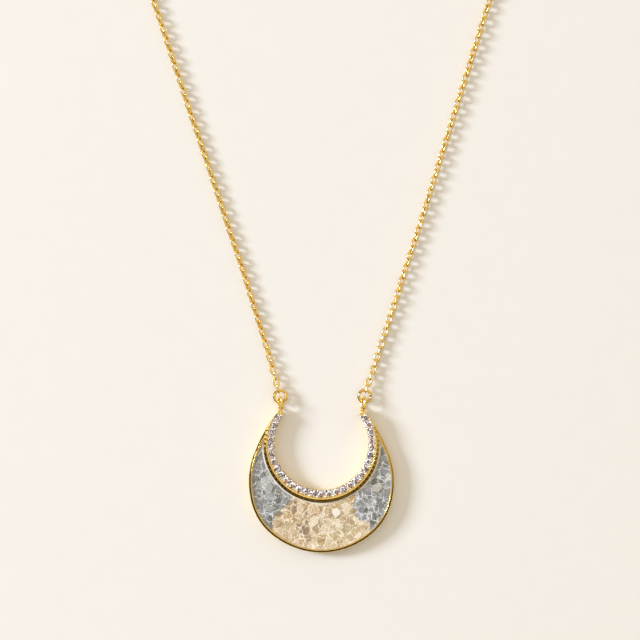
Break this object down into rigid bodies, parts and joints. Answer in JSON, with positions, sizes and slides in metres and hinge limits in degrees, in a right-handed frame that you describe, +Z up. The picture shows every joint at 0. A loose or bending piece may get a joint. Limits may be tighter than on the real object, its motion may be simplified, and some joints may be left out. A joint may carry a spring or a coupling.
{
  "type": "crescent pendant necklace",
  "caption": "Crescent pendant with stone-chip inlay and a row of small brilliants, hung by two jump rings from a fine cable chain, lying flat in a closed loop.",
  "frame": {"origin": "on the surface the necklace lies on, under the middle of its bounding box", "axes": "+Z up out of the pendant's face, +Y from the pendant towards the clasp, +X to the right"},
  "size_m": [0.1002, 0.2184, 0.0026],
  "materials": {
    "gold_plate": "polished",
    "grey_chips": "gloss",
    "champagne_chips": "gloss",
    "clear_stone": "polished"
  },
  "bodies": {
    "root": {"crescent_setting": "gold_plate", "grey_inlay_left": "grey_chips", "champagne_inlay": "champagne_chips", "grey_inlay_right": "grey_chips", "stone_01": "clear_stone", "stone_02": "clear_stone", "stone_03": "clear_stone", "stone_04": "clear_stone", "stone_05": "clear_stone", "stone_06": "clear_stone", "stone_07": "clear_stone", "stone_08": "clear_stone", "stone_09": "clear_stone", "stone_10": "clear_stone", "stone_11": "clear_stone", "stone_12": "clear_stone", "stone_13": "clear_stone", "stone_14": "clear_stone", "stone_15": "clear_stone", "stone_16": "clear_stone", "stone_17": "clear_stone", "stone_18": "clear_stone", "stone_19": "clear_stone", "stone_20": "clear_stone", "stone_21": "clear_stone", "stone_22": "clear_stone", "stone_23": "clear_stone", "stone_24": "clear_stone", "stone_25": "clear_stone", "stone_26": "clear_stone", "stone_27": "clear_stone", "stone_28": "clear_stone", "stone_29": "clear_stone", "jump_ring_left": "gold_plate", "jump_ring_right": "gold_plate", "chain_left": "gold_plate", "chain_right": "gold_plate", "clasp": "gold_plate", "end_ring": "gold_plate"}
  },
  "joints": []
}
